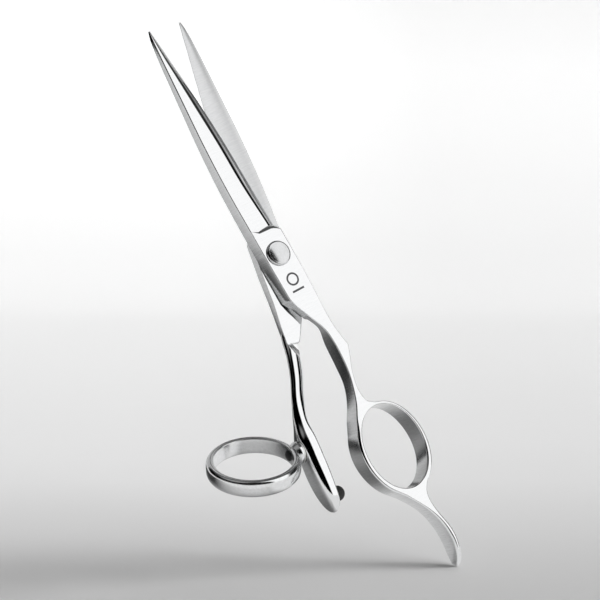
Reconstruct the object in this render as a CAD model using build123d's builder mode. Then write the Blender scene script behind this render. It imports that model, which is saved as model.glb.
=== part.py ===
from build123d import *

import math
import os

# Hair cutting shears with a swivelling thumb ring, in millimetres.
# Z is the pivot axis, and the origin is on it, at the rear face of the tension dial. +Y runs to the
# blade tips, +X to the finger side, and +Z to the front face with the domed screw.
# The finger blade is the fixed half. The thumb half is drawn closed, in thumb_plane, and that plane is
# turned by rest_opening, so the part rests slightly open.

# Driving dimensions
mating = 6.2  # height of the plane in which the two blades meet
blade_gap = 0.05  # each inner face stands off the mating plane by this
blade_thickness = 3.5
edge_land = 0.12  # thickness left along the cutting edge
facet_height = 0.72  # of the blade's thickness, where the upper surface turns down to the cutting edge
rest_opening = 8.0  # degrees

screw_head_radius = 3.65
screw_head_side = 0.65
screw_dome = 0.5
neck_radius = 2.5
neck_flats = 4.2
shank_radius = 2.0
shank_flats = 3.2
running_gap = 0.05  # radial clearance of every turning fit

ride_washer_radius = 4.0
ride_washer_thickness = 0.4
bush_radius = 3.0
thrust_thickness = 0.3
thrust_radius = 3.6
cone_height = 0.5
cone_thickness = 0.25
cone_radius = 3.2
click_thickness = 0.4
click_radius = 3.3
dial_radius = 3.7
dial_notches = 20
dial_notch_radius = 0.33
dial_recess = 0.7
dial_spanner_circle = 2.75  # the two spanner holes stand on this radius
dial_spanner_radius = 0.35
dial_spanner_depth = 0.4
ball_radius = 0.4
ball_circle = 2.6
ball_inset = 0.2  # from the click plate's rear face to the middle of a ball
lock_head_radius = 1.5
lock_shank_radius = 0.8
lock_shank_length = 2.6
lock_bore_depth = 3.0
lock_spanner_circle = 0.9
lock_spanner_radius = 0.25
lock_spanner_depth = 0.35

ring_inner_radius = 11.0
ring_outer_radius = 13.0
ring_width = 4.9
ring_swell = 1.3  # half thickness of the band's oval section, cut flat at the inner radius
ring_reach = 14.7  # from the boss face to the ring's centre
ring_swivel = 55.0  # degrees the ring is turned out of the plane of the blades
boss_radius = 3.2
swivel_washer_thickness = 0.3
swivel_shank_radius = 1.0
swivel_bush_radius = 1.4
swivel_bush_length = 1.25
swivel_cone_height = 0.25
swivel_head_radius = 1.6
swivel_head_height = 0.8
swivel_socket = 0.7
swivel_socket_depth = 0.45
swivel_screw_length = 3.0  # of its thread, behind the boss face
swivel_bore_depth = 3.2
swivel_cap_height = 0.6
swivel_cap_gap = 0.1

bumper_radius = 2.2
bumper_height = 3.1
bumper_stem_radius = 1.2
bumper_stem_length = 2.4
bumper_y = -68.5

rear_reach = 6.0  # more than either half reaches behind the mating plane

# Heights that follow from the stack behind the thumb blade
front_face = mating + blade_thickness
thumb_rear = mating - blade_thickness
thrust_rear = thumb_rear - thrust_thickness
cone_rear = thrust_rear - cone_height
click_rear = cone_rear - click_thickness
ball_seat_depth = ball_inset + ball_radius + running_gap
screw_end = dial_recess
ride_floor = mating + blade_gap - ride_washer_thickness
head_rim = front_face + screw_head_side
dome_radius = (screw_head_radius**2 + screw_dome**2) / (2 * screw_dome)
bumper_dome_start = bumper_height - bumper_radius

# Blade sections, the same for both blades: (y, spine x, facet x, edge x, thickness)
blade_sections = [
    (1.0, -4.8, 2.6, 4.85, 3.5),
    (8.0, -4.85, 2.3, 4.85, 3.4),
    (22.0, -4.85, 1.0, 4.3, 3.1),
    (36.0, -4.25, 0.15, 3.8, 2.7),
    (50.0, -3.1, -0.55, 2.75, 2.2),
    (63.0, -1.95, -1.0, 1.35, 1.65),
    (70.0, -1.1, -0.75, 0.6, 1.2),
    (73.7, -0.25, -0.1, 0.2, 0.6),
]

# Finger ring: two nested ovals
hole_centre = (3.1, -63.5)
hole_radii = (9.3, 12.65)
oval_centre = (3.0, -64.0)
oval_radii = (10.8, 14.0)

# Thumb shank, from the scoop below the flat to the end of the paddle:
# (x, y, height over the mating plane, half width, half depth)
thumb_stations = [
    (-4.2, -20.5, -1.9, 1.5, 1.3),
    (-5.2, -26.0, -1.0, 2.0, 1.6),
    (-6.9, -32.5, -0.2, 2.3, 1.65),
    (-9.3, -39.5, 0, 2.4, 1.9),
    (-11.1, -46.0, 0, 2.9, 2.7),
    (-11.0, -52.0, 0, 3.9, 3.6),
    (-10.5, -58.0, 0, 4.4, 4.1),
    (-10.4, -64.0, 0, 4.4, 4.1),
    (-10.7, -69.0, 0, 3.4, 3.3),
    (-11.3, -72.0, 0, 1.9, 1.8),
    (-11.8, -73.0, 0, 0.7, 0.7),
]
paddle_face = -10.0  # the paddle's flat inner face
boss_x = -14.9
boss_y = -54.1
boss_angle = 175.0  # direction out of the boss face, in the closed thumb side


thumb_plane = Plane.XY.rotated((0, 0, -rest_opening))


def thumb_point(x, y, z):
    """The place in the part of a point of the closed thumb side."""
    return thumb_plane.from_local_coords(Vector(x, y, z))


def thumb_direction(angle):
    """The direction in the part of an angle of the closed thumb side."""
    turn = math.radians(angle - rest_opening)
    return Vector(math.cos(turn), math.sin(turn), 0)


boss_out = thumb_direction(boss_angle)
ring_axis = Vector(0, 0, 1).rotate(Axis((0, 0, 0), tuple(boss_out)), ring_swivel)
boss_face = thumb_point(boss_x, boss_y, mating)
ring_middle = boss_face + boss_out * ring_reach
swivel = Plane(origin=boss_face, x_dir=ring_axis, z_dir=boss_out)
swivel_side = Plane(origin=boss_face, x_dir=boss_out, z_dir=boss_out.cross(ring_axis))
swivel_line = Axis(tuple(boss_face), tuple(boss_out))
bumper_face = thumb_point(paddle_face, bumper_y, mating)
bumper_out = thumb_direction(0)
bumper_side = Plane(origin=bumper_face, x_dir=bumper_out, z_dir=bumper_out.cross(Vector(0, 0, 1)))
bumper_line = Axis(tuple(bumper_face), tuple(bumper_out))


def blade_section(section, side):
    """Corners of a blade section: side is 1 for the finger blade and -1 for the thumb blade."""
    y, spine, facet, edge, thickness = section
    inner = mating + side * blade_gap
    outer = mating + side * thickness
    land = inner + side * edge_land
    ridge = mating + side * thickness * facet_height
    corners = [(spine, inner), (spine, outer), (facet, ridge), (edge, land), (edge, inner)]
    return [(side * x, z) for x, z in corners]


def flat_hole(radius, flats):
    """A round outline cut to two flats."""
    Circle(radius)
    Rectangle(flats, 3 * radius, mode=Mode.INTERSECT)


# ------------------------------------------------------------------ finger side, the fixed half

with BuildPart() as finger_blade:
    for low, high in zip(blade_sections[:-1], blade_sections[1:]):
        for section in (low, high):
            with BuildSketch(Plane(origin=(0, section[0], 0), x_dir=(1, 0, 0), z_dir=(0, -1, 0))):
                with BuildLine():
                    Polyline(*blade_section(section, 1), close=True)
                make_face()
        loft(ruled=True)
    # pivot block, with the shoulder where the blade's grind begins
    with BuildSketch(Plane.XY.offset(mating - rear_reach)):
        with BuildLine():
            Polyline((-4.4, -13.0), (-4.85, 8.8), (2.0, 8.7), (3.7, 8.2), (4.6, 7.0), (4.9, 5.6))
            Polyline((4.9, 5.6), (4.9, -6.0), (4.5, -23.0))
            Spline((4.5, -23.0), (5.0, -28.0), (5.7, -32.0))
            Spline((5.7, -32.0), (3.4, -37.4), (2.1, -41.5), (1.6, -45.4), (3.0, -48.6), (5.6, -50.1))
            Polyline((5.6, -50.1), (2.0, -56.0), (-5.3, -55.3))
            Spline(
                (-5.3, -55.3),
                (-2.1, -49.0),
                (0.1, -43.5),
                (1.6, -36.6),
                (1.7, -27.5),
                (-0.7, -20.8),
                (-4.4, -13.0),
            )
        make_face()
        with Locations(oval_centre):
            Ellipse(*oval_radii)
        # the finger rest, a curved tang below the ring
        with BuildLine():
            Spline(
                (6.4, -77.2),
                (4.8, -79.8),
                (4.7, -83.0),
                (5.7, -87.4),
                (6.6, -91.6),
                (6.4, -96.0),
                (4.95, -101.5),
            )
            ThreePointArc((4.95, -101.5), (4.2, -102.5), (3.4, -101.2))
            Spline((3.4, -101.2), (4.55, -96.4), (4.8, -93.4), (4.4, -89.6), (2.5, -83.8), (-1.6, -77.0))
            Line((-1.6, -77.0), (6.4, -77.2))
        make_face()
        with Locations(hole_centre):
            Ellipse(*hole_radii, mode=Mode.SUBTRACT)
    extrude(amount=rear_reach + blade_thickness)
    # the rear surface: flat behind the block, scooped below it, waisted at the shank
    with BuildSketch(Plane.YZ):
        with BuildLine():
            Polyline((-17.5, mating + blade_gap), (80, mating + blade_gap), (80, front_face))
            Line((80, front_face), (-93, front_face))
            Spline((-93, front_face), (-99.3, mating + 2.8), (-102.6, mating + 0.6))
            Line((-102.6, mating + 0.6), (-102.6, mating - 1.2))
            Spline((-102.6, mating - 1.2), (-98.8, mating - 3.3), (-94, mating - 3.9))
            Spline(
                (-94, mating - 3.9),
                (-89, mating - 3.4),
                (-82, mating - 2.6),
                (-73, mating - 3.2),
                (-60, mating - 4.0),
                (-51, mating - 3.5),
                (-43, mating - 1.7),
                (-35, mating - 2.8),
                (-29, mating - 2.2),
                (-23.5, mating + 1.5),
                (-17.5, mating + blade_gap),
            )
        make_face()
    extrude(amount=40, both=True, mode=Mode.INTERSECT)
    with BuildSketch(Plane.XY.offset(mating)):
        flat_hole(neck_radius + running_gap, neck_flats + 2 * running_gap)
    extrude(amount=blade_thickness, mode=Mode.SUBTRACT)
finger_blade.part.label = "finger_blade"

with BuildPart() as pivot_screw:
    with BuildSketch(Plane.XZ):
        with BuildLine():
            Polyline((0, front_face), (screw_head_radius, front_face), (screw_head_radius, head_rim))
            RadiusArc((screw_head_radius, head_rim), (0, head_rim + screw_dome), -dome_radius)
            Line((0, head_rim + screw_dome), (0, front_face))
        make_face()
    revolve(axis=Axis.Z)
    fillet(pivot_screw.edges().filter_by(Plane.XY).sort_by(Axis.Z)[-1], 0.25)
    with BuildSketch(Plane.XY.offset(mating + blade_gap)):
        flat_hole(neck_radius, neck_flats)
    extrude(amount=blade_thickness - blade_gap)
    with BuildSketch(Plane.XY.offset(thrust_rear)):
        Circle(shank_radius)
    extrude(amount=mating + blade_gap - thrust_rear)
    with BuildSketch(Plane.XY.offset(screw_end)):
        flat_hole(shank_radius, shank_flats)
    extrude(amount=thrust_rear - screw_end)
    with BuildSketch(Plane.XY.offset(screw_end)):
        Circle(lock_shank_radius + running_gap)
    extrude(amount=lock_bore_depth, mode=Mode.SUBTRACT)
pivot_screw.part.label = "pivot_screw"

with BuildPart() as spring_washer:
    with BuildSketch(Plane.XZ):
        with BuildLine():
            Polyline(
                (shank_radius + running_gap, cone_rear),
                (cone_radius, thrust_rear - cone_thickness),
                (cone_radius, thrust_rear),
                (shank_radius + running_gap, cone_rear + cone_thickness),
                close=True,
            )
        make_face()
    revolve(axis=Axis.Z)
spring_washer.part.label = "spring_washer"

with BuildPart() as click_plate:
    with BuildSketch(Plane.XY.offset(click_rear)):
        Circle(click_radius)
    extrude(amount=click_thickness)
    with BuildSketch(Plane.XY.offset(click_rear)):
        flat_hole(shank_radius + running_gap, shank_flats + 2 * running_gap)
    extrude(amount=click_thickness, mode=Mode.SUBTRACT)
    with BuildSketch(Plane.XZ):
        with Locations((ball_circle, click_rear - ball_inset)):
            Circle(ball_radius + running_gap)
    revolve(axis=Axis.Z, mode=Mode.SUBTRACT)
click_plate.part.label = "click_plate"

with BuildPart() as lock_screw:
    with BuildSketch():
        Circle(lock_head_radius)
    extrude(amount=screw_end)
    chamfer(lock_screw.faces().sort_by(Axis.Z)[0].edges(), 0.15)
    with BuildSketch(Plane.XY.offset(screw_end)):
        Circle(lock_shank_radius)
    extrude(amount=lock_shank_length)
    with BuildSketch():
        with PolarLocations(lock_spanner_circle, 2, start_angle=90):
            Circle(lock_spanner_radius)
    extrude(amount=lock_spanner_depth, mode=Mode.SUBTRACT)
lock_screw.part.label = "lock_screw"

# ------------------------------------------------------------------ tension dial

with BuildPart() as tension_dial:
    with BuildSketch():
        Circle(dial_radius)
        with PolarLocations(dial_radius + 0.12, dial_notches):
            Circle(dial_notch_radius, mode=Mode.SUBTRACT)
    extrude(amount=click_rear)
    with BuildSketch():
        Circle(shank_radius + running_gap)
    extrude(amount=click_rear, mode=Mode.SUBTRACT)
    with BuildSketch():
        Circle(lock_head_radius + 0.3)
    extrude(amount=dial_recess, mode=Mode.SUBTRACT)
    with BuildSketch():
        with PolarLocations(dial_spanner_circle, 2, start_angle=90):
            Circle(dial_spanner_radius)
    extrude(amount=dial_spanner_depth, mode=Mode.SUBTRACT)
    with BuildSketch(Plane.XY.offset(click_rear - ball_seat_depth)):
        with PolarLocations(ball_circle, 2):
            Circle(ball_radius + running_gap)
    extrude(amount=ball_seat_depth, mode=Mode.SUBTRACT)
tension_dial.part.label = "tension_dial"

with BuildPart() as detent_balls:
    with Locations((0, 0, click_rear - ball_inset)):
        with PolarLocations(ball_circle, 2):
            Sphere(ball_radius)
detent_balls.part.label = "detent_balls"

# ------------------------------------------------------------------ thumb side

with BuildPart() as thumb_blade:
    for low, high in zip(blade_sections[:-1], blade_sections[1:]):
        for section in (low, high):
            middle = thumb_point(0, section[0], 0)
            with BuildSketch(Plane(origin=middle, x_dir=thumb_plane.x_dir, z_dir=thumb_plane.y_dir * -1)):
                with BuildLine():
                    Polyline(*blade_section(section, -1), close=True)
                make_face()
        loft(ruled=True)
    with BuildSketch(thumb_plane.offset(thumb_rear)):
        with BuildLine():
            Polyline((-6.3, -25.0), (-6.0, -20.0), (-5.4, -13.0), (-5.0, 5.8), (2.1, 8.0))
            Polyline((2.1, 8.0), (4.85, 8.0), (4.4, -13.0))
            Spline((4.4, -13.0), (2.0, -18.4), (-0.9, -23.6), (-3.0, -25.6))
            Line((-3.0, -25.6), (-6.3, -25.0))
        make_face()
    extrude(amount=blade_thickness - blade_gap)
    for x, y, rise, half_width, half_depth in thumb_stations:
        middle = thumb_point(x, y, mating + rise)
        with BuildSketch(Plane(origin=middle, x_dir=thumb_plane.x_dir, z_dir=thumb_plane.y_dir * -1)):
            Ellipse(half_width, half_depth)
    loft()
    # flat inner face of the paddle, and the boss the ring turns on
    with BuildSketch(thumb_plane.offset(mating - rear_reach)):
        with BuildLine():
            Polyline((-7.4, -40), (paddle_face, -50.5), (paddle_face, -76), (0, -76), (0, -40), close=True)
        make_face()
    extrude(amount=2 * rear_reach, mode=Mode.SUBTRACT)
    with BuildSketch(swivel):
        Circle(boss_radius + 0.6)
    extrude(amount=2, mode=Mode.SUBTRACT)
    with BuildSketch(swivel.offset(-2)):
        Circle(boss_radius)
    extrude(amount=2)
    # seats of the bearing bush, the ride washer, the swivel screw and the bumper's stem
    with BuildSketch(thumb_plane.offset(thumb_rear)):
        Circle(bush_radius)
    extrude(amount=blade_thickness, mode=Mode.SUBTRACT)
    with BuildSketch(thumb_plane.offset(ride_floor)):
        Circle(ride_washer_radius + running_gap)
    extrude(amount=1, mode=Mode.SUBTRACT)
    with BuildSketch(swivel.offset(-swivel_bore_depth)):
        Circle(swivel_shank_radius)
    extrude(amount=swivel_bore_depth, mode=Mode.SUBTRACT)
    with BuildSketch(Plane(origin=bumper_face, x_dir=(0, 0, 1), z_dir=bumper_out)):
        Circle(bumper_stem_radius)
    extrude(amount=-bumper_stem_length, mode=Mode.SUBTRACT)
thumb_blade.part.label = "thumb_blade"

with BuildPart() as pivot_bush:
    with BuildSketch(Plane.XY.offset(thumb_rear)):
        Circle(bush_radius)
        Circle(shank_radius + running_gap, mode=Mode.SUBTRACT)
    extrude(amount=ride_floor - thumb_rear)
pivot_bush.part.label = "pivot_bush"

with BuildPart() as ride_washer:
    with BuildSketch(Plane.XY.offset(ride_floor)):
        Circle(ride_washer_radius)
        Circle(shank_radius + running_gap, mode=Mode.SUBTRACT)
    extrude(amount=ride_washer_thickness)
ride_washer.part.label = "ride_washer"

with BuildPart() as thrust_washer:
    with BuildSketch(Plane.XY.offset(thrust_rear)):
        Circle(thrust_radius)
        Circle(shank_radius + running_gap, mode=Mode.SUBTRACT)
    extrude(amount=thrust_thickness)
thrust_washer.part.label = "thrust_washer"

with BuildPart() as bumper:
    with BuildSketch(bumper_side):
        with BuildLine():
            Polyline((0, 0), (-bumper_stem_length, 0), (-bumper_stem_length, bumper_stem_radius))
            Line((-bumper_stem_length, bumper_stem_radius), (0, bumper_stem_radius))
            Polyline((0, bumper_stem_radius), (0, bumper_radius), (bumper_dome_start, bumper_radius))
            RadiusArc((bumper_dome_start, bumper_radius), (bumper_height, 0), bumper_radius)
            Line((bumper_height, 0), (0, 0))
        make_face()
    revolve(axis=bumper_line)
bumper.part.label = "bumper"

# ------------------------------------------------------------------ swivelling thumb ring
# Along the swivel line, x counts from the boss face towards the ring.
pad_start = swivel_washer_thickness
cone_start = pad_start + swivel_bush_length
head_start = cone_start + swivel_cone_height
cap_start = head_start + swivel_head_height + swivel_cap_gap
# The pad grows from the round neck into the ring's band: (height, half length, half width)
pad_sections = ((1.0, 3.1, 3.2), (1.9, 2.9, 5.2), (3.0, 2.3, 7.1))

with BuildPart() as thumb_ring:
    with BuildSketch(Plane(origin=ring_middle, x_dir=boss_out, z_dir=boss_out.cross(ring_axis))):
        with Locations((ring_outer_radius - ring_swell, 0)):
            Ellipse(ring_swell, ring_width / 2)
        with Locations((ring_inner_radius + 2, 0)):
            Rectangle(4, ring_width, mode=Mode.INTERSECT)
    revolve(axis=Axis(tuple(ring_middle), tuple(ring_axis)))
    with BuildSketch(swivel.offset(pad_start)):
        Circle(boss_radius)
    extrude(amount=1.2)
    for height, along, across in pad_sections:
        with BuildSketch(swivel.offset(height)):
            Ellipse(along, across)
    loft()
    with BuildSketch(swivel.offset(pad_start)):
        Circle(swivel_bush_radius + running_gap)
    extrude(amount=swivel_bush_length, mode=Mode.SUBTRACT)
    with BuildSketch(swivel.offset(cone_start)):
        Circle(swivel_head_radius + running_gap)
    extrude(amount=3, mode=Mode.SUBTRACT)
thumb_ring.part.label = "thumb_ring"

with BuildPart() as swivel_washer:
    with BuildSketch(swivel):
        Circle(boss_radius - 0.1)
        Circle(swivel_shank_radius + running_gap, mode=Mode.SUBTRACT)
    extrude(amount=swivel_washer_thickness)
swivel_washer.part.label = "swivel_washer"

with BuildPart() as swivel_bush:
    with BuildSketch(swivel.offset(pad_start)):
        Circle(swivel_bush_radius)
        Circle(swivel_shank_radius + running_gap, mode=Mode.SUBTRACT)
    extrude(amount=swivel_bush_length)
swivel_bush.part.label = "swivel_bush"

with BuildPart() as swivel_spring:
    with BuildSketch(swivel_side):
        with BuildLine():
            Polyline(
                (cone_start + 0.1, swivel_shank_radius + running_gap),
                (cone_start, swivel_head_radius - 0.05),
                (head_start - 0.1, swivel_head_radius - 0.05),
                (head_start, swivel_shank_radius + running_gap),
                close=True,
            )
        make_face()
    revolve(axis=swivel_line)
swivel_spring.part.label = "swivel_spring"

with BuildPart() as swivel_screw:
    with BuildSketch(swivel.offset(-swivel_screw_length)):
        Circle(swivel_shank_radius)
    extrude(amount=swivel_screw_length + head_start)
    with BuildSketch(swivel.offset(head_start)):
        Circle(swivel_head_radius)
    extrude(amount=swivel_head_height)
    with BuildSketch(swivel.offset(head_start + swivel_head_height - swivel_socket_depth)):
        RegularPolygon(swivel_socket, 6)
    extrude(amount=swivel_socket_depth, mode=Mode.SUBTRACT)
swivel_screw.part.label = "swivel_screw"

with BuildPart() as swivel_cap:
    with BuildSketch(swivel.offset(cap_start)):
        Circle(swivel_head_radius)
    extrude(amount=swivel_cap_height)
    fillet(swivel_cap.edges().filter_by(GeomType.CIRCLE), 0.12)
swivel_cap.part.label = "swivel_cap"

os.makedirs("parts", exist_ok=True)
nodes = (
    finger_blade,
    pivot_screw,
    spring_washer,
    click_plate,
    lock_screw,
    tension_dial,
    detent_balls,
    thumb_blade,
    pivot_bush,
    ride_washer,
    thrust_washer,
    bumper,
    thumb_ring,
    swivel_washer,
    swivel_bush,
    swivel_spring,
    swivel_screw,
    swivel_cap,
)
for node in nodes:
    export_step(node.part, "parts/" + node.part.label + ".step")
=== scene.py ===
import math

import bpy
from mathutils import Matrix, Vector
from mathutils.geometry import tessellate_polygon


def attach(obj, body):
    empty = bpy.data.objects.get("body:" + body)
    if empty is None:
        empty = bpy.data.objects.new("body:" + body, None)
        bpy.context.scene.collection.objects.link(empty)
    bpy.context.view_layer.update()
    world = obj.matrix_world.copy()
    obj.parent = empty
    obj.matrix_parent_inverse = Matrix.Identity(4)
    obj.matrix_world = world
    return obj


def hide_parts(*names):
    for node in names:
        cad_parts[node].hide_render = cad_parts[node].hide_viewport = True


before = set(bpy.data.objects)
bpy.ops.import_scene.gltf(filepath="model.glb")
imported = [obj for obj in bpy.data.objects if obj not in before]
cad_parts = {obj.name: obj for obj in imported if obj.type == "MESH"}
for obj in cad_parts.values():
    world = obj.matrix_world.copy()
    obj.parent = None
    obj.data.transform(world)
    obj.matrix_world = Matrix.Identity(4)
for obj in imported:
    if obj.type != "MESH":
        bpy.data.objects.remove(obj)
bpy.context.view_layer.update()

# The row frame: Z is the pivot axis, with the origin at the rear of the tension dial, +Y runs to the
# tips and +X to the finger side. Lengths are in millimetres, and MM turns them into metres. The
# studio alone is in metres.
MM = 0.001
MATING = 6.2
FRONT = 9.7
REAR = 2.7
BLOCK_THICK = 3.5
HALF_GAP = 0.05
SPINE_LEAN = 0.5
REST_OPENING = math.radians(8)
CREASE = math.radians(32)


# ------------------------------------------------------------------ mesh helpers
def piece(name, points, faces, material, body):
    """A mesh object from points in millimetres, shaded smooth with creases at sharp edges."""
    mesh = bpy.data.meshes.new(name)
    mesh.from_pydata([tuple(c * MM for c in p) for p in points], [], faces)
    mesh.validate()
    mesh.update()
    obj = bpy.data.objects.new(name, mesh)
    bpy.context.scene.collection.objects.link(obj)
    mesh.shade_smooth()
    mesh.set_sharp_from_angle(angle=CREASE)
    mesh.materials.append(material)
    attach(obj, body)
    return obj


def smooth_curve(points, per):
    """Points of a Catmull-Rom curve through the given points, of any dimension, with per on each span."""
    out = []
    for i in range(len(points) - 1):
        p1, p2 = points[i], points[i + 1]
        p0 = points[i - 1] if i else [2 * a - b for a, b in zip(p1, p2)]
        p3 = points[i + 2] if i + 2 < len(points) else [2 * b - a for a, b in zip(p1, p2)]
        for k in range(per):
            t = k / per
            point = []
            for a, b, c, d in zip(p0, p1, p2, p3):
                squared = 2 * a - 5 * b + 4 * c - d
                cubed = 3 * b - a - 3 * c + d
                point.append(0.5 * (2 * b + (c - a) * t + squared * t * t + cubed * t**3))
            out.append(point)
    out.append(list(points[-1]))
    return out


def outward(loop):
    """Unit normals of a closed loop, to the right of its direction."""
    normals = []
    count = len(loop)
    for i in range(count):
        ax, ay = loop[i - 1]
        bx, by = loop[(i + 1) % count]
        length = math.hypot(bx - ax, by - ay) or 1
        normals.append(((by - ay) / length, -(bx - ax) / length))
    return normals


def area(loop):
    """Area inside a closed loop, above zero when the loop runs anticlockwise."""
    return sum(a[0] * b[1] - b[0] * a[1] for a, b in zip(loop, loop[1:] + loop[:1])) / 2


def rounded_prism(loops, top, bottom, edge_top, edge_bottom, steps=6):
    """A plate with rounded rims: the first loop is the outline and the rest are holes.
    top and bottom give heights from (x, y), and edge_top and edge_bottom give the rims' radii from
    (number of the loop, x, y)."""
    points = []
    faces = []
    caps = {0: [], 1: []}
    for index, loop in enumerate(loops):
        turn = 1 if index == 0 else -1
        if area(loop) * turn < 0:
            loop = loop[::-1]
        normals = outward(loop)
        rings = []
        for side, height, edge in ((0, bottom, edge_bottom), (1, top, edge_top)):
            order = range(steps + 1) if side else range(steps, -1, -1)
            for k in order:
                angle = math.pi / 2 * k / steps
                ring = []
                for (x, y), (nx, ny) in zip(loop, normals):
                    r = edge(index, x, y)
                    inset = r * (1 - math.cos(angle))
                    drop = r * (1 - math.sin(angle))
                    z = height(x, y) - drop if side else height(x, y) + drop
                    ring.append(len(points))
                    points.append((x - nx * inset, y - ny * inset, z))
                rings.append(ring)
        for low, high in zip(rings[:-1], rings[1:]):
            for i in range(len(low)):
                j = (i + 1) % len(low)
                faces.append((low[i], low[j], high[j], high[i]))
        caps[0].append(rings[0])
        caps[1].append(rings[-1])
    for side in (0, 1):
        flat = [Vector((points[i][0], points[i][1], 0)) for ring in caps[side] for i in ring]
        index_of = [i for ring in caps[side] for i in ring]
        nested = []
        start = 0
        for ring in caps[side]:
            nested.append(flat[start:start + len(ring)])
            start += len(ring)
        for a, b, c in tessellate_polygon(nested):
            one, two, three = flat[a], flat[b], flat[c]
            up = (two - one).cross(three - one).z > 0
            tri = (index_of[a], index_of[b], index_of[c])
            faces.append(tri if up == bool(side) else tri[::-1])
    return points, faces


def loft(sections):
    """A closed body through sections that all have the same number of points."""
    points = [p for section in sections for p in section]
    n = len(sections[0])
    faces = []
    for s in range(len(sections) - 1):
        for i in range(n):
            j = (i + 1) % n
            a = s * n
            faces.append((a + i, a + j, a + n + j, a + n + i))
    faces.append(tuple(range(n))[::-1])
    faces.append(tuple(range(len(points) - n, len(points))))
    return points, faces


def lathe(profile, origin, axis, side, segments=128):
    """A turned body: profile is (radius, height) along axis, closed on the axis or on itself."""
    axis = Vector(axis).normalized()
    side = (Vector(side) - axis * axis.dot(Vector(side))).normalized()
    third = axis.cross(side)
    origin = Vector(origin)
    points = []
    rings = []
    for radius, height in profile:
        base = origin + axis * height
        if radius < 1e-6:
            rings.append([len(points)] * segments)
            points.append(tuple(base))
            continue
        ring = []
        for k in range(segments):
            turn = 2 * math.pi * k / segments
            ring.append(len(points))
            points.append(tuple(base + (side * math.cos(turn) + third * math.sin(turn)) * radius))
        rings.append(ring)
    faces = []
    loops = list(zip(rings[:-1], rings[1:]))
    if profile[0][0] > 1e-6:
        loops.append((rings[-1], rings[0]))
    for low, high in loops:
        for k in range(segments):
            j = (k + 1) % segments
            quad = []
            for v in (low[k], low[j], high[j], high[k]):
                if v not in quad:
                    quad.append(v)
            if len(quad) > 2:
                faces.append(tuple(quad))
    return points, faces


def oval(centre, radii, start, end, count):
    """Points of an oval's arc from one angle to another, in degrees."""
    out = []
    for k in range(count + 1):
        a = math.radians(start + (end - start) * k / count)
        out.append((centre[0] + radii[0] * math.cos(a), centre[1] + radii[1] * math.sin(a)))
    return out


def round_corners(corners, radii, steps=4):
    """A polygon with each corner rounded by a quadratic curve."""
    out = []
    count = len(corners)
    for i in range(count):
        a, b, c = corners[i - 1], corners[i], corners[(i + 1) % count]
        r = radii[i]
        la = math.dist(a, b)
        lc = math.dist(b, c)
        ta = min(r, la * 0.45) / la
        tc = min(r, lc * 0.45) / lc
        p = [b[k] + (a[k] - b[k]) * ta for k in (0, 1)]
        q = [b[k] + (c[k] - b[k]) * tc for k in (0, 1)]
        for k in range(steps + 1):
            t = k / steps
            out.append(tuple(p[m] * (1 - t)**2 + 2 * b[m] * t * (1 - t) + q[m] * t * t for m in (0, 1)))
    return out


def ramp(value, low, high):
    """Runs smoothly from 0 at low to 1 at high."""
    t = max(0.0, min(1.0, (value - low) / (high - low)))
    return t * t * (3 - 2 * t)


def join(*parts):
    """One mesh of several, each given as (points, faces)."""
    points = []
    faces = []
    for more, more_faces in parts:
        base = len(points)
        points += list(more)
        faces += [tuple(base + i for i in face) for face in more_faces]
    return points, faces


def opened(points):
    """Points of the closed thumb side, turned to the rest opening."""
    c, s = math.cos(-REST_OPENING), math.sin(-REST_OPENING)
    return [(x * c - y * s, x * s + y * c, z) for x, y, z in points]


# ------------------------------------------------------------------ materials
class Nodes:
    """Short way to build a node tree."""

    def __init__(self, tree):
        self.tree = tree

    def add(self, kind, **values):
        node = self.tree.nodes.new(kind)
        for key, value in values.items():
            setattr(node, key, value)
        return node

    def link(self, out, into):
        self.tree.links.new(out, into)

    def span(self, value, low, high, start=0.3, end=0.7, smooth=False):
        """Runs from low to high as the value runs from start to end."""
        node = self.add("ShaderNodeMapRange", interpolation_type="SMOOTHSTEP" if smooth else "LINEAR")
        node.inputs["From Min"].default_value = start
        node.inputs["From Max"].default_value = end
        node.inputs["To Min"].default_value = low
        node.inputs["To Max"].default_value = high
        self.link(value, node.inputs["Value"])
        return node.outputs["Result"]

    def maths(self, operation, *values):
        node = self.add("ShaderNodeMath", operation=operation)
        for value, into in zip(values, node.inputs):
            if isinstance(value, float):
                into.default_value = value
            else:
                self.link(value, into)
        return node.outputs[0]


class Paint(Nodes):
    """A node material."""

    def __init__(self, name):
        self.material = bpy.data.materials.new(name)
        self.material.use_nodes = True
        super().__init__(self.material.node_tree)
        self.shader = self.tree.nodes["Principled BSDF"]
        self.place = self.add("ShaderNodeTexCoord").outputs["Object"]

    def stretched(self, scale):
        mapping = self.add("ShaderNodeMapping")
        mapping.inputs["Scale"].default_value = scale
        self.link(self.place, mapping.inputs["Vector"])
        return mapping.outputs["Vector"]

    def noise(self, vector, scale, detail, rough=0.6):
        node = self.add("ShaderNodeTexNoise")
        node.inputs["Scale"].default_value = scale
        node.inputs["Detail"].default_value = detail
        node.inputs["Roughness"].default_value = rough
        self.link(vector, node.inputs["Vector"])
        return node.outputs["Fac"]

    def colour(self, value, low, high):
        node = self.add("ShaderNodeMix", data_type="RGBA")
        node.inputs["A"].default_value = (*low, 1)
        node.inputs["B"].default_value = (*high, 1)
        self.link(value, node.inputs["Factor"])
        return node.outputs["Result"]

    def bump(self, value, strength, distance):
        node = self.add("ShaderNodeBump")
        node.inputs["Strength"].default_value = strength
        node.inputs["Distance"].default_value = distance
        self.link(value, node.inputs["Height"])
        self.link(node.outputs["Normal"], self.shader.inputs["Normal"])


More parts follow.
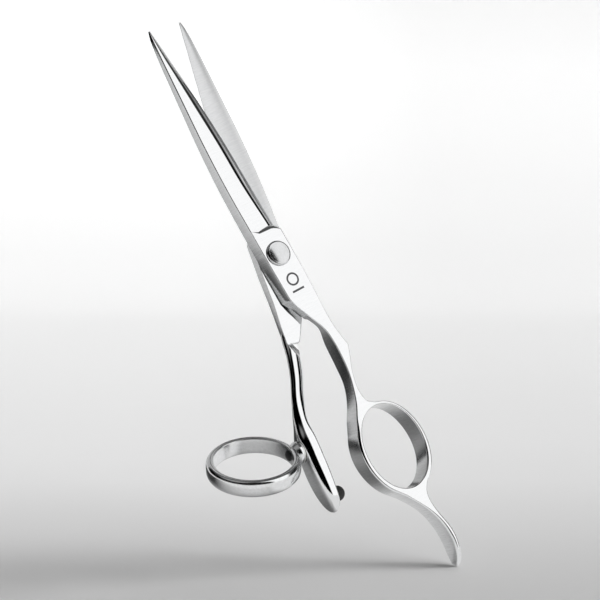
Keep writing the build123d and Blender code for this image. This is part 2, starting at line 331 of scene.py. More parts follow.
def steel(name, dark, light, rough, grain, relief, side_rough=0.0, side_relief=0.0, painted_side_shade=1.0):
    """Polished steel: grain is the stretch of its fine lines. The side values make walls that stand
    upright rougher, more deeply lined and darker with painted shade."""
    m = Paint(name)
    lines = m.noise(m.stretched(grain), 1.0, detail=6, rough=0.65)
    smears = m.noise(m.place, 140.0, detail=3)
    tone = m.colour(m.span(lines, 0, 1), dark, light)
    roughness = m.maths("ADD", m.span(lines, rough[0], rough[1]), m.span(smears, 0.0, 0.03))
    height = lines
    if side_rough or side_relief:
        normal = m.add("ShaderNodeSeparateXYZ")
        m.link(m.add("ShaderNodeNewGeometry").outputs["Normal"], normal.inputs[0])
        side = m.span(m.maths("ABSOLUTE", normal.outputs["Z"]), 1, 0, 0.15, 0.6)
        roughness = m.maths("MULTIPLY_ADD", side, side_rough, roughness)
        # painted shade: walls that stand upright get a darker colour, mixed in by how far they face sideways
        painted_wall_shade = m.colour(m.span(lines, 0, 1, 0.35, 0.65), [painted_side_shade * 0.9] * 3, [painted_side_shade * 1.08] * 3)
        walls = m.add("ShaderNodeMix", data_type="RGBA")
        walls.inputs["A"].default_value = (1, 1, 1, 1)
        m.link(painted_wall_shade, walls.inputs["B"])
        m.link(side, walls.inputs["Factor"])
        shaded = m.add("ShaderNodeMix", data_type="RGBA", blend_type="MULTIPLY")
        shaded.inputs["Factor"].default_value = 1.0
        m.link(tone, shaded.inputs["A"])
        m.link(walls.outputs["Result"], shaded.inputs["B"])
        tone = shaded.outputs["Result"]
        height = m.maths("MULTIPLY", m.span(side, relief, side_relief, 0, 1), lines)
        relief = 1.0
    m.shader.inputs["Metallic"].default_value = 1.0
    m.link(tone, m.shader.inputs["Base Color"])
    m.link(roughness, m.shader.inputs["Roughness"])
    m.bump(height, relief, 0.00002)
    return m.material


# the blade steel's upright walls carry painted shade
blade_steel = steel(
    "blade_steel", (0.73, 0.735, 0.74), (0.765, 0.77, 0.775), (0.04, 0.07), (250, 3600, 250),
    relief=0.003, side_rough=0.12, side_relief=0.45, painted_side_shade=0.72,
)
hollow_steel = steel(
    "hollow_steel", (0.62, 0.625, 0.63), (0.74, 0.745, 0.75), (0.28, 0.38), (300, 3200, 300), relief=0.25,
)
mirror_steel = steel(
    "mirror_steel", (0.57, 0.575, 0.58), (0.64, 0.645, 0.65), (0.14, 0.19), (700, 700, 700), relief=0.004,
)
ring_steel = steel(
    "ring_steel", (0.70, 0.705, 0.71), (0.82, 0.825, 0.83), (0.13, 0.19), (900, 900, 2500), relief=0.03,
)
ground_steel = steel(
    "ground_steel", (0.5, 0.5, 0.51), (0.66, 0.66, 0.67), (0.22, 0.34), (900, 900, 6000), relief=0.1,
)
bronze = steel(
    "bronze", (0.50, 0.36, 0.18), (0.66, 0.48, 0.26), (0.22, 0.36), (900, 900, 6000), relief=0.1,
)


def moulded(name, dark, light, rough, scale, relief):
    """A dull surface with a fine grain."""
    m = Paint(name)
    grain = m.noise(m.place, scale, detail=5)
    m.link(m.colour(m.span(grain, 0, 1), dark, light), m.shader.inputs["Base Color"])
    m.link(m.span(grain, rough[0], rough[1]), m.shader.inputs["Roughness"])
    m.bump(grain, relief, 0.00003)
    return m.material


etched = moulded("etched", (0.05, 0.05, 0.052), (0.11, 0.11, 0.115), (0.5, 0.7), 4000.0, 0.2)
rubber = moulded("rubber", (0.006, 0.006, 0.006), (0.016, 0.016, 0.016), (0.55, 0.75), 2500.0, 0.25)
cap_black = moulded("cap_black", (0.004, 0.004, 0.005), (0.012, 0.012, 0.013), (0.35, 0.5), 3000.0, 0.1)
nylon = moulded("nylon", (0.78, 0.78, 0.75), (0.86, 0.86, 0.83), (0.4, 0.55), 1500.0, 0.05)

for name, material in (
    ("spring_washer", ground_steel),
    ("click_plate", ground_steel),
    ("lock_screw", mirror_steel),
    ("tension_dial", ring_steel),
    ("detent_balls", mirror_steel),
    ("pivot_bush", bronze),
    ("ride_washer", nylon),
    ("thrust_washer", nylon),
    ("swivel_washer", nylon),
    ("swivel_bush", bronze),
    ("swivel_spring", ground_steel),
    ("swivel_screw", mirror_steel),
):
    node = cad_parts[name]
    node.data.materials.clear()
    node.data.materials.append(material)

# ------------------------------------------------------------------ blades
# (y, spine x, ridge x, edge x, thickness), the same for both blades: the thumb blade is turned over
BLADE = [
    (1.0, -4.8, 2.9, 4.85, 3.5),
    (8.0, -4.85, 2.7, 4.85, 3.4),
    (22.0, -4.85, 1.6, 4.3, 3.1),
    (36.0, -4.25, 1.3, 3.8, 2.7),
    (50.0, -3.1, 0.7, 2.75, 2.2),
    (63.0, -1.95, -0.1, 1.35, 1.65),
    (70.0, -1.1, -0.25, 0.6, 1.2),
    (73.3, -0.3, -0.1, 0.2, 0.6),
]
EDGE_HEIGHT = 0.12
HOLLOW_DEPTH = 0.22
HOLLOW_FROM = 6


def blade(side):
    """A blade from the pivot to the tip: side is 1 for the finger blade and -1 for the thumb blade."""
    sections = []
    for y, spine, ridge, edge, thick in smooth_curve(BLADE, per=10):
        scale = min(1.0, thick / 2)
        inner = MATING + side * HALF_GAP
        outer = MATING + side * thick
        crest = MATING + side * thick * (0.72 + 0.17 * ramp(y, 44, 66))
        land = inner + side * EDGE_HEIGHT
        lean = SPINE_LEAN * thick / BLOCK_THICK
        corners = [(spine - lean, inner), (spine + lean, outer), (ridge, crest), (edge, land), (edge, inner)]
        radii = [0.08, 0.28 * scale, 0.9 * scale, 0.03, 0.03]
        outline = round_corners(corners, radii)
        # the inner face is ground hollow from just past the pivot
        hollow = ramp(y, 9, 16) * HOLLOW_DEPTH * scale
        for t in (0.12, 0.3, 0.5, 0.7, 0.88):
            outline.append((edge + (spine - edge) * t, inner + side * hollow * (1 - (2 * t - 1)**2)))
        sections.append([(side * x, y, z) for x, z in outline])
    return loft(sections)


def hollow_faces(obj, side):
    """Gives the ground inner face of a blade its own finish."""
    obj.data.materials.append(hollow_steel)
    for face in obj.data.polygons:
        height = (face.center.z / MM - MATING) * side
        if face.center.y > HOLLOW_FROM * MM and height < 0.4 and face.normal.z * side < -0.9:
            face.material_index = 1


# ------------------------------------------------------------------ finger half
# Its outline runs down the left side, round the finger ring and the finger rest, and up the right side.
BLOCK_LEFT = [(-4.85, 8.8), (-4.85, 4.0), (-4.7, -4.0), (-4.42, -12.4)]
SHANK_LEFT = [
    (-4.4, -13.0), (-2.2, -17.6), (-0.5, -21.2), (1.1, -24.6), (1.75, -28.0),
    (1.85, -33.0), (1.35, -38.6), (0.1, -43.6), (-1.5, -47.9), (-3.6, -51.6),
]
RIGHT_SIDE = [(4.85, -6.0), (4.7, -14.5), (4.5, -23.0), (5.0, -28.0), (5.75, -32.0)]
NECK_RIGHT = [
    (5.75, -32.0), (4.6, -34.9), (3.2, -38.0), (2.1, -41.5), (1.55, -45.0), (2.1, -48.2), (4.2, -49.9),
]
BLOCK_TOP = [(4.85, 5.9), (4.5, 7.2), (3.6, 8.3), (2.0, 8.75), (-2.1, 8.85)]


def angle_on(centre, radii, point):
    """The direction of a point as an angle of an oval, in degrees."""
    return math.degrees(math.atan2((point[1] - centre[1]) / radii[1], (point[0] - centre[0]) / radii[0]))


SAME_POINT = 0.05
OVAL, OVAL_R = (3.0, -64.0), (10.8, 14.0)
HOLE, HOLE_R = (3.1, -63.5), (9.3, 12.65)
TANG_RIGHT = [
    (6.9, -76.95), (5.2, -79.2), (4.7, -82.0), (5.2, -85.6), (6.15, -89.2),
    (6.62, -92.4), (6.4, -96.0), (5.75, -99.2), (5.0, -101.4),
]
TANG_END = [(5.0, -101.4), (4.55, -102.3), (3.85, -102.3), (3.4, -101.3)]
TANG_LEFT = [
    (3.4, -101.3), (4.2, -98.4), (4.75, -95.6), (4.8, -93.0), (4.55, -90.4),
    (3.8, -87.2), (2.5, -83.8), (0.7, -80.6), (-1.6, -77.3),
]


def finger_outline():
    """The finger half without its blade, from the block's top left corner round to it again."""
    loop = list(BLOCK_LEFT)
    loop += smooth_curve(SHANK_LEFT, per=8)
    start = angle_on(OVAL, OVAL_R, (-5.2, -54.9))
    end = angle_on(OVAL, OVAL_R, (-3.4, -75.3))
    loop += oval(OVAL, OVAL_R, start, end + 360, 48)
    loop += smooth_curve(TANG_LEFT[::-1], per=8)
    loop += smooth_curve(TANG_END[::-1], per=6)
    loop += smooth_curve(TANG_RIGHT[::-1], per=8)
    start = angle_on(OVAL, OVAL_R, (8.2, -76.2))
    end = angle_on(OVAL, OVAL_R, (5.8, -50.5))
    loop += oval(OVAL, OVAL_R, start, end, 72)
    loop += smooth_curve(NECK_RIGHT[::-1], per=8)
    loop += smooth_curve(RIGHT_SIDE[::-1], per=6)
    loop += BLOCK_TOP
    clean = []
    for p in loop:
        if not clean or math.dist(p, clean[-1]) > SAME_POINT:
            clean.append(tuple(p))
    return clean


# (y, height over the mating plane) of the finger half's rear face
REAR_LINE = [
    (-103, -4.0), (-98, -4.0), (-89, -3.4), (-82, -2.7), (-73, -3.2), (-60, -4.0), (-51, -3.4),
    (-43, -1.8), (-36, -2.6), (-29, -2.0), (-23.8, 1.2), (-20.5, 1.35), (-17.5, 0.06), (9, 0.06),
]
REAR_CURVE = smooth_curve(REAR_LINE, per=8)
# over its last stretch the finger rest thins to a round end, about this middle height
TANG_MIDDLE = MATING - 0.5
TANG_HALF = 4.0
ROUND_FROM = 92.5
ROUND_LENGTH = 9.9


def rear_height(y):
    """Height of the rear face at a place along the finger half."""
    for (y0, z0), (y1, z1) in zip(REAR_CURVE[:-1], REAR_CURVE[1:]):
        if y <= y1:
            return MATING + z0 + (z1 - z0) * max(0.0, (y - y0) / (y1 - y0))
    return MATING + REAR_LINE[-1][1]


def finger_edge(loop, x, y):
    """Radius of the front rim, where loop 1 is the finger hole."""
    if loop:
        return 0.4
    around = ramp(-y, 50, 58) * (1 - ramp(-y, 72, 84))
    shoulder = 2.0 * ramp(y, 5.2, 8.2) * ramp(x, -4.8, -2.5)
    return 0.18 + 0.08 * ramp(-y, 14, 24) + 0.45 * around + 0.5 * ramp(-y, 78, 90) + shoulder


def finger_edge_rear(loop, x, y):
    """Radius of the rear rim."""
    if loop:
        return 0.14
    return 0.1 + 0.3 * ramp(-y, 24, 36) + 0.3 * ramp(-y, 50, 58)


def tang_round(y, power):
    """How much of the finger rest's depth is left near its round end."""
    t = max(0.0, min(0.985, (-y - ROUND_FROM) / ROUND_LENGTH))
    return math.sqrt(1 - t**power)


def finger_front(x, y):
    """Height of the front face, which is flat up to the finger rest's end."""
    return TANG_MIDDLE + TANG_HALF * tang_round(y, 2.6)


def finger_rear(x, y):
    """Height of the rear face with the finger rest's round end."""
    rear = rear_height(y)
    return TANG_MIDDLE + (rear - TANG_MIDDLE) * tang_round(y, 2.0) if y < -90 else rear


hole = oval(HOLE, HOLE_R, 0, 360, 128)[:-1]
plate_points, plate_faces = rounded_prism(
    [finger_outline(), hole], finger_front, finger_rear, finger_edge, finger_edge_rear,
)
# the wall of the pivot block leans like the blade's spine
leaned = []
for x, y, z in plate_points:
    amount = ramp(-x, 2.5, 4.2) * ramp(y, -17.5, -12.5)
    leaned.append((x + amount * (SPINE_LEAN - (FRONT - z) / BLOCK_THICK), y, z))
finger_points, finger_faces = join(blade(1), (leaned, plate_faces))
finger = piece("finger_half", finger_points, finger_faces, blade_steel, "finger_side")
hollow_faces(finger, 1)
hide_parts("finger_blade")

MARK_X, MARK_Y = 0.1, -8.3


def mark_rim(loop, x, y):
    return 0.004


def etched_mark():
    """A plain ring over a bar, etched on the front of the pivot block."""
    turn = [2 * math.pi * k / 48 for k in range(48)]
    circles = [[(MARK_X + r * math.cos(a), MARK_Y + r * math.sin(a)) for a in turn] for r in (1.95, 1.4)]
    bar = [(-1.9, -12.0), (2.1, -12.0), (2.1, -11.4), (-1.9, -11.4)]
    plates = []
    for loops in (circles, [bar]):
        plates.append(rounded_prism(
            loops, lambda x, y: FRONT + 0.012, lambda x, y: FRONT - 0.1, mark_rim, mark_rim, steps=1,
        ))
    return join(*plates)


mark_points, mark_faces = etched_mark()
piece("etched_mark", mark_points, mark_faces, etched, "finger_side")

# ------------------------------------------------------------------ thumb half
# It is drawn closed, and opened() turns it to rest.
BLOCK = [
    (-6.2, -25.0), (-6.05, -20.0), (-5.5, -13.0), (-5.35, -4.0), (-5.0, 5.6), (-4.3, 6.6),
    (-1.9, 7.9), (2.1, 8.0), (4.85, 8.0), (4.8, 0.0), (4.4, -13.0), (3.3, -15.9),
    (2.0, -18.4), (0.6, -20.9), (-0.9, -23.6), (-1.9, -25.2), (-2.6, -25.6), (-3.4, -25.5),
]
# (x, y, height over the mating plane, outer half width, inner half width, half depth, squareness,
# share of the bar's own section)
SHANK = [
    (-4.1, -19.5, -2.0, 1.3, 1.3, 1.1, 2.0, 0.0),
    (-4.7, -23.5, -1.2, 2.0, 2.0, 1.9, 2.0, 0.3),
    (-5.5, -28.0, -0.4, 2.3, 2.3, 2.0, 2.0, 0.8),
    (-7.1, -34.0, 0.0, 2.4, 2.4, 2.1, 2.0, 1.0),
    (-9.3, -40.0, 0.0, 2.45, 2.45, 2.3, 2.0, 1.0),
    (-11.1, -46.0, 0.0, 2.7, 2.0, 2.8, 2.3, 0.5),
    (-11.2, -51.0, 0.0, 3.6, 1.3, 3.5, 3.4, 0.0),
    (-11.2, -56.0, 0.0, 3.75, 1.2, 4.0, 4.0, 0.0),
    (-11.2, -61.0, 0.0, 3.75, 1.2, 4.2, 4.0, 0.0),
    (-11.1, -65.5, 0.0, 3.5, 1.1, 4.0, 4.0, 0.0),
    (-11.0, -69.0, 0.0, 3.0, 1.0, 3.4, 4.0, 0.0),
    (-11.2, -71.3, 0.0, 2.2, 1.0, 2.5, 3.4, 0.0),
    (-11.5, -72.5, 0.0, 1.3, 0.8, 1.6, 2.4, 0.0),
    (-11.7, -73.0, 0.0, 0.4, 0.3, 0.5, 2.0, 0.0),
]
# The bar's section is drawn with arcs: (radius, way the surface faces at the arc's start, and at its
# end), in degrees from the front towards the left.
BAR_ARCS = [(1.385, 115, 7), (3.9, 7, -16), (5.4, -16, -34), (4.6, -34, -65)]
BAR_HALF = 2.45


def bar_reach():
    """Polar (angle, radius) pairs of the bar's section, closed at the rear by two more arcs."""
    def run(arcs):
        x = z = 0.0
        path = []
        for radius, start, end in arcs:
            for k in range(24):
                a = math.radians(start + (end - start) * (k + 0.5) / 24)
                step = radius * math.radians(start - end) / 24
                x += math.cos(a) * step
                z += math.sin(a) * step
                path.append((x, z))
        return path

    front = run(BAR_ARCS)
    # the rear arcs get the radii that bring the path back to its start
    one, two = run([(1, -65, -155)])[-1], run([(1, -155, -245)])[-1]
    gap_x, gap_z = -front[-1][0], -front[-1][1]
    spread = one[0] * two[1] - one[1] * two[0]
    rear = ((gap_x * two[1] - gap_z * two[0]) / spread, (one[0] * gap_z - one[1] * gap_x) / spread)
    path = run(BAR_ARCS + [(rear[0], -65, -155), (rear[1], -155, -245)])
    left, right = min(p[0] for p in path), max(p[0] for p in path)
    low, high = min(p[1] for p in path), max(p[1] for p in path)
    scale = 2 / (right - left)
    polar = []
    for x, z in path:
        x, z = (x - (left + right) / 2) * scale, (z - (low + high) / 2) * scale
        polar.append((math.atan2(z, x), math.hypot(x, z)))
    return sorted(polar)


BAR = bar_reach()


def bar_radius(angle):
    """Distance of the bar's surface from its middle, for a bar two units wide."""
    for (a0, r0), (a1, r1) in zip(BAR, BAR[1:] + [(BAR[0][0] + 2 * math.pi, BAR[0][1])]):
        if a0 <= angle <= a1:
            return r0 + (r1 - r0) * (angle - a0) / max(1e-9, a1 - a0)
    return BAR[0][1]


CUTTER = 3.0
UNDER_FLAT = MATING - 0.3
UNCUT = MATING + 9


def carved(x, y):
    """Height the round cutter leaves where the flat of the thumb half runs out into the bar."""
    s = -0.90 * (x + 3.2) - 0.43 * (y + 26.0)
    left = MATING - 0.6 + CUTTER - math.sqrt(max(0.0, CUTTER**2 - s * s)) if s < CUTTER else UNCUT
    # beyond the groove, and below the block itself, the bar stays hidden under the flat
    if s < -2:
        left = UNDER_FLAT
    if y > -25.15 - 0.16 * (x + 5.8) and x > -6.2:
        left = min(left, UNDER_FLAT)
    return left


def shank():
    """The thumb half's bar and paddle. Squareness flattens the sides of a section, the inner one most."""
    sections = []
    for x, y, rise, outer, inner, deep, square, share in smooth_curve(SHANK, per=20):
        section = []
        for k in range(120):
            a = 2 * math.pi * k / 120
            c, s = math.cos(a), math.sin(a)
            power = 2 / (square if c > 0 else 0.4 + 0.8 * square)
            px = (inner if c > 0 else outer) * math.copysign(abs(c)**power, c)
            pz = deep * math.copysign(abs(s)**power, s)
            r = bar_radius(math.atan2(pz, px)) * BAR_HALF
            size = math.hypot(px, pz)
            px += (px / size * r - px) * share
            pz += (pz / size * r - pz) * share
            section.append((x + px, y, min(MATING + rise + pz, carved(x + px, y))))
        sections.append(section[::-1])
    return loft(sections)


def block_rim(loop, x, y):
    return 0.08 + 0.5 * ramp(-y, 14, 19) * ramp(x, -5.2, -3.6)


def block_rim_rear(loop, x, y):
    return 0.25 + 1.3 * ramp(-y, 8, 20)


block = rounded_prism(
    [BLOCK], lambda x, y: MATING - HALF_GAP, lambda x, y: REAR, block_rim, block_rim_rear,
)
BOSS_ANGLE = math.radians(175)
boss_dir = Vector((math.cos(BOSS_ANGLE), math.sin(BOSS_ANGLE), 0))
boss_face = Vector((-14.9, -54.1, MATING))
post = lathe(
    [(0, -2.4), (2.75, -2.4), (2.8, -0.8), (2.72, -0.35), (2.55, -0.1), (2.3, 0), (0, 0)],
    boss_face, boss_dir, (0, 0, 1),
)
thumb_points, thumb_faces = join(blade(-1), block, shank(), post)
thumb = piece("thumb_half", opened(thumb_points), thumb_faces, blade_steel, "thumb_side")
hollow_faces(thumb, -1)
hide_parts("thumb_blade")

STOP_AT = (-10.0, -68.5, MATING)
STOP_R = 2.2
STOP_WALL = 0.9
stop = lathe(
    [(0, -0.3), (2.1, -0.3), (STOP_R, 0.0), (2.22, 0.5)]
    + oval((0, STOP_WALL), (STOP_R, STOP_R), 0, 90, 16)[:-1] + [(0, STOP_WALL + STOP_R)],
    STOP_AT, (1, 0, 0), (0, 0, 1), segments=96,
)
stop_piece = piece("stop_bumper", opened(stop[0]), stop[1], rubber, "thumb_side")
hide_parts("bumper")

# ------------------------------------------------------------------ pivot screw
HEAD_R = 3.65
RIM_HEIGHT = 0.55
DOME_R = 13.07
TOP = FRONT + 1.15
dome = [(0, TOP)]
for degrees in range(1, 14):
    a = math.radians(degrees)
    dome.append((DOME_R * math.sin(a), TOP - DOME_R + DOME_R * math.cos(a)))
rim_r, rim_z = dome[-1]
head = [(0, FRONT - 0.3), (3.5, FRONT - 0.3), (3.62, FRONT), (HEAD_R, FRONT + 0.15)]
for degrees in range(0, 76, 15):
    a = math.radians(degrees)
    head.append((rim_r + (HEAD_R - rim_r) * math.cos(a), rim_z - RIM_HEIGHT + RIM_HEIGHT * math.sin(a)))
screw = lathe(head + dome[::-1], (0, 0, 0), (0, 0, 1), (1, 0, 0))
screw_piece = piece("screw_head", screw[0], screw[1], mirror_steel, "finger_side")
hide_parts("pivot_screw")

# ------------------------------------------------------------------ thumb ring
RING_TURN = math.radians(55)
RING_REACH = 14.7
BORE_R = 11.0
BORE_HALF = 2.05
LIP = 0.25
BAND_HALF = 2.42
SHOULDER_R = 11.6
BULGE = 1.4
SQUARENESS = 0.72
swivel_dir = Vector(opened([tuple(boss_dir)])[0])
swivel_at = Vector(opened([tuple(boss_face)])[0])
across = swivel_dir.cross(Vector((0, 0, 1)))
ring_dir = Vector((0, 0, 1)) * math.cos(RING_TURN) + across * math.sin(RING_TURN)
ring_at = swivel_at + swivel_dir * RING_REACH
lip = []
for degrees in range(90, -1, -15):
    a = math.radians(degrees)
    lip.append((BORE_R + LIP * (1 - math.cos(a)), -BORE_HALF - LIP * math.sin(a)))
bore = lip + [(BORE_R, height) for height in (-1.0, 0.0, 1.0)] + [(r, -height) for r, height in lip[::-1]]
outer = []
for k in range(49):
    a = math.radians(90 - 180 * k / 48)
    c, s = math.cos(a), math.sin(a)
    bulge = BULGE * abs(c)**SQUARENESS
    outer.append((SHOULDER_R + bulge, BAND_HALF * math.copysign(abs(s)**SQUARENESS, s)))
ring_mesh = lathe(bore + outer, ring_at, ring_dir, swivel_dir, segments=160)
neck_curve = smooth_curve([(3.2, 1.25), (2.95, 1.7), (2.6, 2.2), (2.4, 2.7), (2.5, 3.3)], per=6)
neck = lathe(
    [(1.45, 0.3), (3.05, 0.3), (3.17, 0.36), (3.2, 0.45)] + [tuple(p) for p in neck_curve]
    + [(1.65, 3.3), (1.65, 1.55), (1.45, 1.55)],
    swivel_at, swivel_dir, (0, 0, 1),
)
ring_points, ring_faces = join(ring_mesh, neck)
ring = piece("thumb_loop", ring_points, ring_faces, ring_steel, "ring")
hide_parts("thumb_ring")

cap_mesh = lathe(
    [(0, 3.0), (1.55, 3.0), (1.62, 3.6), (1.5, 3.95), (1.15, 4.2), (0.6, 4.32), (0, 4.35)],
    swivel_at, swivel_dir, (0, 0, 1), segments=64,
)
cap_piece = piece("screw_cap", cap_mesh[0], cap_mesh[1], cap_black, "ring")
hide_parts("swivel_cap")

# ------------------------------------------------------------------ studio
# The shears stand on their finger rest, on a paper sweep. RIGHT, UP and FACING are the camera's own
# directions in the row frame, and the floor is tilted a little against them.
RIGHT = Vector((0.77387, -0.48350, 0.40908))
UP = Vector((0.41827, 0.87518, 0.24312))
FACING = Vector((-0.47557, -0.01704, 0.87951))
TILT = math.radians(7)
floor_up = UP * math.cos(TILT) + FACING * math.sin(TILT)
floor_out = FACING * math.cos(TILT) - UP * math.sin(TILT)

scene = bpy.context.scene
# the studio's origin is at the foot of the finger rest, and the floor lies just under it
lowest = min((Vector(p) * MM).dot(floor_up) for p in finger_points)
foot = Vector((0.0045, -0.1005, 0.0075))
foot += floor_up * (lowest - 0.0001 - foot.dot(floor_up))
studio = Matrix((RIGHT, floor_up, floor_out)).transposed().to_4x4()
studio.translation = foot

# the sweep's side is drawn as (out, up) and runs from left to right, all in metres
SWEEP_LEFT, SWEEP_RIGHT = -1.3, 0.7
SWEEP_FRONT, SWEEP_BACK, SWEEP_TOP = 0.7, -0.55, 1.3
BEND = 0.35
side_line = [(SWEEP_FRONT, 0.0), (SWEEP_BACK, 0.0)]
for k in range(1, 25):
    a = math.pi / 2 * k / 24
    side_line.append((SWEEP_BACK - BEND * math.sin(a), BEND * (1 - math.cos(a))))
side_line.append((SWEEP_BACK - BEND, SWEEP_TOP))
sweep_points = []
sweep_faces = []
for index, (out, up) in enumerate(side_line):
    sweep_points += [(SWEEP_LEFT, up, out), (SWEEP_RIGHT, up, out)]
    if index:
        a = 2 * index
        sweep_faces.append((a - 2, a - 1, a + 1, a))
sweep_mesh = bpy.data.meshes.new("sweep")
sweep_mesh.from_pydata(sweep_points, [], sweep_faces)
sweep_mesh.shade_smooth()
sweep = bpy.data.objects.new("sweep", sweep_mesh)
scene.collection.objects.link(sweep)
sweep.matrix_world = studio
paint = Paint("sweep_paint")
paint.shader.inputs["Roughness"].default_value = 0.8
paint.shader.inputs["Specular IOR Level"].default_value = 0.1
along = paint.add("ShaderNodeSeparateXYZ")
paint.link(paint.place, along.inputs[0])


def greys(value, stops):
    """A grey that runs through (position, level) stops."""
    node = paint.add("ShaderNodeValToRGB")
    points = node.color_ramp.elements
    while len(points) < len(stops):
        points.new(1.0)
    for point, (position, level) in zip(points, stops):
        point.position = position
        point.color = (level, level, level, 1)
    paint.link(value, node.inputs["Fac"])
    return node.outputs["Color"]


# the camera sees a floor with painted shade, darker towards it
floor_painted_shade = [(0.0, 0.50), (0.22, 0.60), (0.30, 0.68), (0.45, 0.78), (0.7, 0.86), (1.0, 0.90)]
seen_floor_shade = greys(paint.span(along.outputs["Z"], 1, 0, -0.6, 0.2), floor_painted_shade)
# the steel's mirror rays see a paler floor, a painted reflection, with a painted dark strip to the left of
# the shears
painted_reflection_strip = greys(
    paint.span(along.outputs["X"], 0, 1, -0.36, 0.14),
    [
        (0.0, 0.90), (0.22, 0.85), (0.30, 0.05), (0.46, 0.04), (0.53, 0.40), (0.57, 0.45),
        (0.61, 0.26), (0.64, 0.26), (0.68, 0.90), (1.0, 0.90),
    ],
)
# painted reflection: the floor's colour as the steel alone sees it, pale on a band in front of the shears
painted_reflection_band = greys(
    paint.span(along.outputs["Z"], 0, 1, -0.1, 0.5),
    [(0.0, 0.0), (0.15, 0.0), (0.28, 0.90), (0.62, 0.90), (0.78, 0.05), (1.0, 0.03)],
)
painted_reflection_tone = paint.maths("MAXIMUM", painted_reflection_strip, painted_reflection_band)
ray = paint.add("ShaderNodeLightPath")
tone_mix = paint.add("ShaderNodeMix", data_type="RGBA")
paint.link(ray.outputs["Is Glossy Ray"], tone_mix.inputs["Factor"])
paint.link(seen_floor_shade, tone_mix.inputs["A"])
paint.link(painted_reflection_tone, tone_mix.inputs["B"])
paint.link(tone_mix.outputs["Result"], paint.shader.inputs["Base Color"])
# both also glow a little as painted light, and what the camera sees does so most at the back and on the left
painted_glow_tone = [
    (0.0, 0.0), (0.1, 0.05), (0.2, 0.16), (0.45, 0.17), (0.62, 0.18), (0.79, 0.30), (0.87, 0.42),
    (0.95, 0.6),
]
painted_glow = greys(paint.span(along.outputs["Z"], 1, 0, -0.9, 0.1), painted_glow_tone)
painted_glow_left = paint.maths("MULTIPLY", painted_glow, paint.span(along.outputs["X"], 1.1, 0.85, -0.12, 0.06))
camera_painted_glow = paint.maths("MULTIPLY", painted_glow_left, ray.outputs["Is Camera Ray"])
steel_painted_glow = paint.maths("MULTIPLY", painted_reflection_tone, ray.outputs["Is Glossy Ray"])
paint.shader.inputs["Emission Color"].default_value = (1, 1, 1, 1)
paint.link(
    paint.maths("MULTIPLY_ADD", steel_painted_glow, 0.22, camera_painted_glow), paint.shader.inputs["Emission Strength"],
)
# from below the sweep is clear, so that the shears can be looked at from any side
clear = paint.add("ShaderNodeBsdfTransparent")
either = paint.add("ShaderNodeMixShader")
paint.link(paint.add("ShaderNodeNewGeometry").outputs["Backfacing"], either.inputs["Fac"])
paint.link(paint.shader.outputs[0], either.inputs[1])
paint.link(clear.outputs[0], either.inputs[2])
paint.link(either.outputs[0], paint.tree.nodes["Material Output"].inputs["Surface"])
sweep_mesh.materials.append(paint.material)

world = bpy.data.worlds.new("studio")
scene.world = world
world.use_nodes = True
sky = Nodes(world.node_tree)
sky.tree.nodes.clear()
where = sky.add("ShaderNodeTexCoord").outputs["Generated"]


def facing(direction):
    """How far a direction of the surroundings agrees with the given one."""
    node = sky.add("ShaderNodeVectorMath", operation="DOT_PRODUCT")
    sky.link(where, node.inputs[0])
    node.inputs[1].default_value = direction.normalized()
    return node.outputs["Value"]


def glow(source, low, high, start, end):
    return sky.span(source, low, high, start, end, smooth=True)


side_on = RIGHT * 0.86 + UP * 0.51


def past(degrees):
    """How far a direction lies past an angle that runs from the camera's side towards side_on."""
    a = math.radians(degrees)
    return facing(side_on * math.cos(a) - FACING * math.sin(a))


# a softbox on the upper right, which ends towards the top
softbox = sky.maths(
    "MULTIPLY", glow(past(43), 0.0, 1.0, -0.03, 0.03), glow(past(86), 1.0, 0.0, -0.03, 0.03),
)
softbox = sky.maths("MULTIPLY", softbox, glow(facing(UP), 1.58, 0.0, 0.80, 0.90))
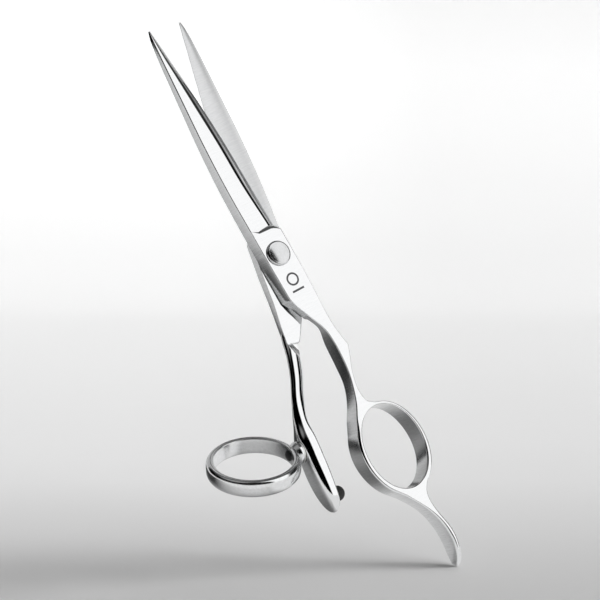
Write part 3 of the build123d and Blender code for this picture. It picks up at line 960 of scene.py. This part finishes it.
# after a dark gap the surroundings turn grey and then white
beyond = past(111)
pale = sky.maths("ADD", glow(beyond, 0.0, 0.35, 0.0, 0.25), glow(beyond, 0.0, 1.15, 0.2, 0.4))
pale = sky.maths("MULTIPLY", pale, glow(facing(side_on), 0.0, 1.0, 0.05, 0.2))
# the steel alone mirrors a dim fill from above, on the left and in front
fill = glow(facing(RIGHT * -0.45 + UP * 0.75 + FACING * 0.45), 0.0, 0.4, 0.84, 0.98)
fill = sky.maths("MAXIMUM", fill, glow(facing(UP), 0.0, 0.12, 0.55, 0.8))
seen = sky.add("ShaderNodeLightPath")
fill = sky.maths("MULTIPLY", fill, seen.outputs["Is Glossy Ray"])
# the camera sees an even pale backdrop instead
shown = sky.add("ShaderNodeMix")
sky.link(seen.outputs["Is Camera Ray"], shown.inputs["Factor"])
sky.link(sky.maths("MAXIMUM", sky.maths("MAXIMUM", softbox, pale), fill), shown.inputs["A"])
shown.inputs["B"].default_value = 0.93
back = sky.add("ShaderNodeBackground")
sky.link(shown.outputs["Result"], back.inputs["Strength"])
sky.link(back.outputs[0], sky.add("ShaderNodeOutputWorld").inputs["Surface"])

# three suns stand on the right: a low one throws the faint streak beside the foot, and two wide high
# ones light the rest. These are their height and spread in degrees, and their strength.
for height, spread, strength in ((16, 22, 3.4), (50, 70, 0.48), (70, 70, 0.48)):
    sun_data = bpy.data.lights.new("key", "SUN")
    sun_data.energy = strength
    sun_data.angle = math.radians(spread)
    sun = bpy.data.objects.new("key", sun_data)
    scene.collection.objects.link(sun)
    rise = math.radians(height)
    sun_from = (RIGHT + FACING * 0.02) * math.cos(rise) + UP * math.sin(rise)
    sun.rotation_euler = (-sun_from).to_track_quat("-Z", "Y").to_euler()
    sun.visible_glossy = False
scene.view_settings.view_transform = "Standard"
scene.view_settings.exposure = 0.0

# the camera stands where the photograph was taken from
camera_data = bpy.data.cameras.new("camera")
camera_data.sensor_width = 36
camera_data.lens = 87.9042
camera_data.clip_start = 0.01
camera = bpy.data.objects.new("camera", camera_data)
scene.collection.objects.link(camera)
CAMERA_AT = (-0.19739, -0.02154, 0.37269)
camera.matrix_world = Matrix.Translation(CAMERA_AT) @ Matrix((RIGHT, UP, FACING)).transposed().to_4x4()
scene.camera = camera
